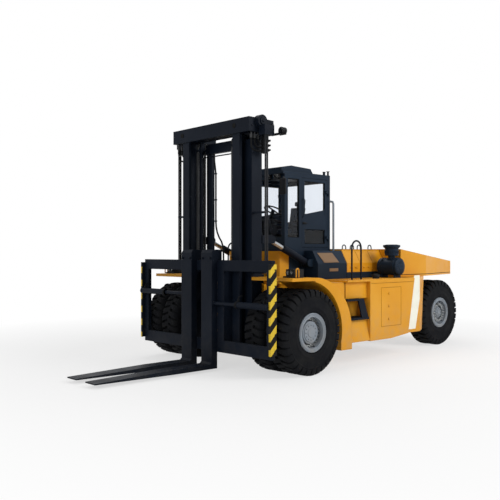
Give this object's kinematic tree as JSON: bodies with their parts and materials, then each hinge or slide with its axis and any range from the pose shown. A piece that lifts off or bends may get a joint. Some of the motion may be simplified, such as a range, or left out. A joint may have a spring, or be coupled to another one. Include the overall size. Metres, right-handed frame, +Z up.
{
  "type": "heavy forklift truck",
  "caption": "Heavy counterbalance forklift with tilting two-stage mast, sliding forks, twin front tyres, steered rear axle, glazed cab, opening doors and hood",
  "frame": {"origin": "middle of the footprint, on the ground", "axes": "+X to the fork tips, +Y to the driver's left, +Z up"},
  "size_m": [10.3604, 4.3, 4.934],
  "materials": {
    "body_yellow": "gloss orange-yellow paint",
    "mast_black": "satin blue-black paint",
    "cab_black": "satin black paint",
    "lamp": "black lamp housing",
    "stripes": "yellow paint with black diagonal bands",
    "steel": "oiled leaf chain",
    "chrome_rod": "hard chrome rod",
    "engine_grey": "painted casting",
    "glass": "tinted safety glass",
    "seat_cloth": "dark woven cover",
    "dark_plastic": "moulded dark plastic",
    "hose": "matte hose rubber",
    "rim_silver": "silver grey paint",
    "tyre": "matte black rubber"
  },
  "bodies": {
    "chassis": {"frame": "body_yellow", "front_axle": "mast_black", "steer_axle": "mast_black", "side_tank_left": "body_yellow", "side_tank_right": "body_yellow", "steps": "cab_black", "handrails": "cab_black", "fender_left": "body_yellow", "fender_right": "body_yellow", "headlamps": "lamp", "front_cowl": "body_yellow", "cab_base": "cab_black", "hood_side_left": "body_yellow", "hood_side_right": "body_yellow", "engine": "engine_grey", "counterweight": "body_yellow", "pillars": "body_yellow", "air_filter": "cab_black", "cab_frame": "cab_black", "cab_roof": "cab_black", "cab_glass": "glass", "seat": "seat_cloth", "console": "dark_plastic"},
    "hood_lid": {"hood_lid": "body_yellow", "lid_handles": "cab_black"},
    "cab_door_left": {"door_left": "cab_black", "door_glass_left": "glass"},
    "cab_door_right": {"door_right": "cab_black", "door_glass_right": "glass"},
    "mast_outer": {"mast_outer": "mast_black", "lift_barrels": "mast_black", "fixed_hoses": "hose", "fixed_chains": "steel"},
    "mast_inner": {"mast_inner": "mast_black", "lift_rods": "chrome_rod", "front_chains": "steel", "moving_chains": "steel", "moving_hoses": "hose", "mast_lamps": "lamp"},
    "carriage": {"carriage": "mast_black", "carriage_sides": "stripes", "positioners": "mast_black"},
    "fork_left": {"fork_left": "mast_black"},
    "fork_right": {"fork_right": "mast_black"},
    "tilt_barrels": {"tilt_barrels": "mast_black"},
    "tilt_rods": {"tilt_rods": "chrome_rod"},
    "front_wheels_left": {"front_rims_left": "rim_silver", "front_tyres_left": "tyre"},
    "front_wheels_right": {"front_rims_right": "rim_silver", "front_tyres_right": "tyre"},
    "knuckle_left": {"knuckle_left": "mast_black"},
    "knuckle_right": {"knuckle_right": "mast_black"},
    "rear_wheel_left": {"rear_rim_left": "rim_silver", "rear_tyre_left": "tyre"},
    "rear_wheel_right": {"rear_rim_right": "rim_silver", "rear_tyre_right": "tyre"}
  },
  "joints": [
    {"name": "mast_tilt", "type": "hinge", "parent": "chassis", "child": "mast_outer", "pos_m": [1.55985, 0, 0.807], "axis": [0, 1, 0], "range_deg": [-10, 5]},
    {"name": "mast_lift", "type": "slide", "parent": "mast_outer", "child": "mast_inner", "axis": [0, 0, 1], "range_m": [0, 2]},
    {"name": "carriage_lift", "type": "slide", "parent": "mast_inner", "child": "carriage", "axis": [0, 0, 1], "range_m": [0, 2], "deforming": ["front_chains"]},
    {"name": "fork_left_slide", "type": "slide", "parent": "carriage", "child": "fork_left", "axis": [0, 1, 0], "range_m": [-0.1, 0.6]},
    {"name": "fork_right_slide", "type": "slide", "parent": "carriage", "child": "fork_right", "axis": [0, -1, 0], "range_m": [-0.1, 0.6]},
    {"name": "tilt_barrel_swing", "type": "hinge", "parent": "chassis", "child": "tilt_barrels", "pos_m": [0.40985, 0, 2.08], "axis": [0, 1, 0], "range_deg": [-5.5, 2.75]},
    {"name": "tilt_rod_stroke", "type": "slide", "parent": "tilt_barrels", "child": "tilt_rods", "axis": [0.9179, 0, 0.3969], "range_m": [-0.28449, 0.14224]},
    {"name": "steer_left", "type": "hinge", "parent": "chassis", "child": "knuckle_left", "pos_m": [-4.04015, 0.75, 0.807], "axis": [0, 0, 1], "range_deg": [-55, 55]},
    {"name": "steer_right", "type": "hinge", "parent": "chassis", "child": "knuckle_right", "pos_m": [-4.04015, -0.75, 0.807], "axis": [0, 0, 1], "range_deg": [-55, 55]},
    {"name": "rear_left_spin", "type": "hinge", "parent": "knuckle_left", "child": "rear_wheel_left", "pos_m": [-4.04015, 1.14, 0.807], "axis": [0, 1, 0], "continuous": true},
    {"name": "rear_right_spin", "type": "hinge", "parent": "knuckle_right", "child": "rear_wheel_right", "pos_m": [-4.04015, -1.14, 0.807], "axis": [0, 1, 0], "continuous": true},
    {"name": "front_left_spin", "type": "hinge", "parent": "chassis", "child": "front_wheels_left", "pos_m": [1.55985, 1.61, 0.807], "axis": [0, 1, 0], "continuous": true},
    {"name": "front_right_spin", "type": "hinge", "parent": "chassis", "child": "front_wheels_right", "pos_m": [1.55985, -1.61, 0.807], "axis": [0, 1, 0], "continuous": true},
    {"name": "door_left_swing", "type": "hinge", "parent": "chassis", "child": "cab_door_left", "pos_m": [-0.51515, 0.745, 3], "axis": [0, 0, 1], "range_deg": [0, 85]},
    {"name": "door_right_swing", "type": "hinge", "parent": "chassis", "child": "cab_door_right", "pos_m": [-0.51515, -0.745, 3], "axis": [0, 0, -1], "range_deg": [0, 85]},
    {"name": "hood_open", "type": "hinge", "parent": "chassis", "child": "hood_lid", "pos_m": [-1.34015, -1.01, 2.361], "axis": [1, 0, 0], "range_deg": [0, 80]}
  ],
  "couplings": [
    {"joint": "carriage_lift", "follows": "mast_lift", "ratio": 1},
    {"joint": "tilt_barrel_swing", "follows": "mast_tilt", "ratio": 0.55},
    {"joint": "tilt_rod_stroke", "follows": "mast_tilt", "m_per_rad": 1.63},
    {"joint": "steer_right", "follows": "steer_left", "ratio": 1}
  ]
}
